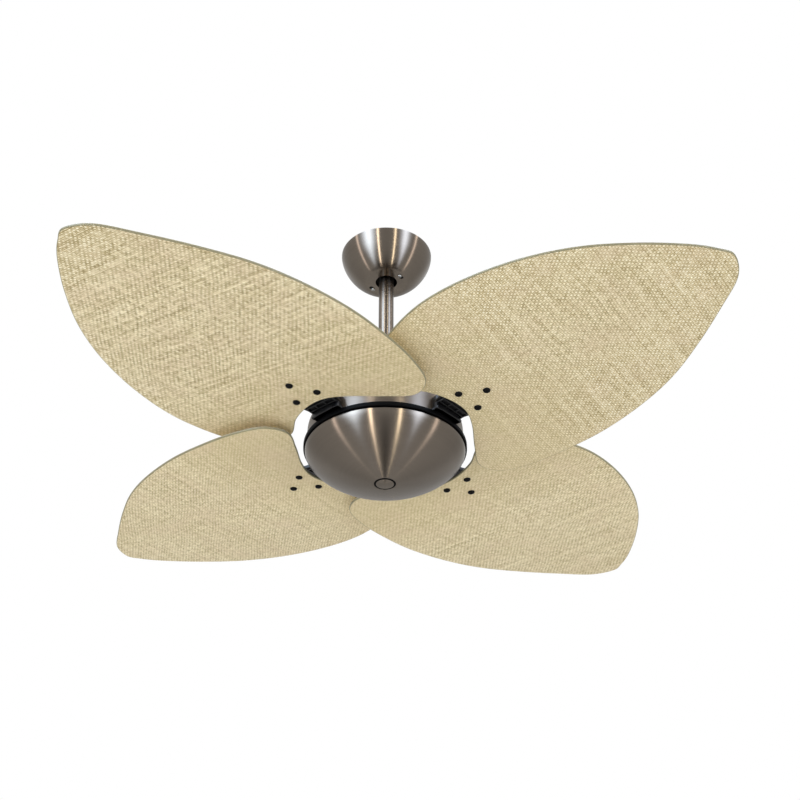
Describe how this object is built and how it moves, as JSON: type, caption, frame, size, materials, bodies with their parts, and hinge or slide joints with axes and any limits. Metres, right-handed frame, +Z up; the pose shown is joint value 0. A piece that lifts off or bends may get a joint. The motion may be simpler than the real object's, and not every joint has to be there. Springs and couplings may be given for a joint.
{
  "type": "ceiling fan",
  "caption": "Ceiling fan with broad woven-faced leaf blades on dark arms, a bronze bowl-shaped motor housing, a short downrod and a cup canopy.",
  "frame": {"origin": "centre of the ceiling bracket's face on the ceiling, on the fan's vertical axis", "axes": "+Z up into the ceiling; +X to the right and -Y towards the camera in the picture; the middle of blade 1 lies 226.5 degrees from +X, counted from +X to +Y, and the others 90 degrees apart"},
  "size_m": [0.9782, 0.9782, 0.467],
  "materials": {
    "bracket_enamel": "black enamel",
    "zinc_plate": "zinc plated",
    "screw_steel": "satin",
    "terminal_plastic": "matte",
    "capacitor_case": "matte",
    "brushed_bronze": "circular brushed, clear lacquered",
    "rod_bronze": "brushed, clear lacquered",
    "bush_rubber": "matte",
    "collar_paint": "satin black",
    "shaft_steel": "ground",
    "core_steel": "stacked laminations",
    "coil_copper": "enamelled wire",
    "bearing_steel": "polished",
    "cage_brass": "satin",
    "cast_aluminium": "die cast",
    "arm_plastic": "satin black",
    "woven_blade": "natural fibre weave on board, matte lacquered",
    "black_screw": "black oxide"
  },
  "bodies": {
    "ceiling_mount": {"ceiling_bracket": "bracket_enamel", "hanger_bolt": "zinc_plate", "hanger_nut": "zinc_plate", "hanger_split_pin": "screw_steel", "terminal_block": "terminal_plastic", "capacitor": "capacitor_case", "bracket_clip_screws": "screw_steel"},
    "canopy_cup": {"canopy": "brushed_bronze", "canopy_screws": "screw_steel"},
    "hanging_assembly": {"downrod": "rod_bronze", "hanger_bush": "bush_rubber", "motor_collar": "collar_paint", "collar_bolt": "zinc_plate", "collar_nut": "zinc_plate", "collar_split_pin": "screw_steel", "motor_shaft": "shaft_steel", "stator_core": "core_steel", "stator_coils": "coil_copper", "bearing_inner_races": "bearing_steel", "shaft_circlips": "screw_steel", "bowl": "brushed_bronze", "bowl_washer": "zinc_plate", "bowl_nut": "zinc_plate", "bowl_cap": "brushed_bronze"},
    "rolling_balls": {"bearing_balls": "bearing_steel", "bearing_cages": "cage_brass"},
    "rotor": {"bearing_outer_races": "bearing_steel", "rotor_core": "core_steel", "rotor_end_rings": "cast_aluminium", "motor_upper_cap": "cast_aluminium", "motor_lower_cap": "cast_aluminium", "motor_cap_screws": "screw_steel", "upper_cover": "brushed_bronze", "cover_screws": "screw_steel", "trim_ring": "arm_plastic", "blade_arm_1": "arm_plastic", "blade_arm_2": "arm_plastic", "blade_arm_3": "arm_plastic", "blade_arm_4": "arm_plastic", "blade_arm_screws": "screw_steel", "blade_1": "woven_blade", "blade_2": "woven_blade", "blade_3": "woven_blade", "blade_4": "woven_blade", "blade_screws": "black_screw"}
  },
  "joints": [
    {"name": "canopy_slide", "type": "slide", "parent": "ceiling_mount", "child": "canopy_cup", "axis": [0, 0, -1], "range_m": [0, 0.07]},
    {"name": "hanger_swing", "type": "hinge", "parent": "ceiling_mount", "child": "hanging_assembly", "pos_m": [0, 0, -0.042], "axis": [0.7771, -0.6293, 0], "range_deg": [-3, 3]},
    {"name": "rotor_spin", "type": "hinge", "parent": "hanging_assembly", "child": "rotor", "pos_m": [0, 0, -0.405], "axis": [0, 0, 1], "continuous": true},
    {"name": "bearing_roll", "type": "hinge", "parent": "hanging_assembly", "child": "rolling_balls", "pos_m": [0, 0, -0.405], "axis": [0, 0, 1], "continuous": true}
  ],
  "couplings": [
    {"joint": "bearing_roll", "follows": "rotor_spin", "ratio": 0.62}
  ]
}
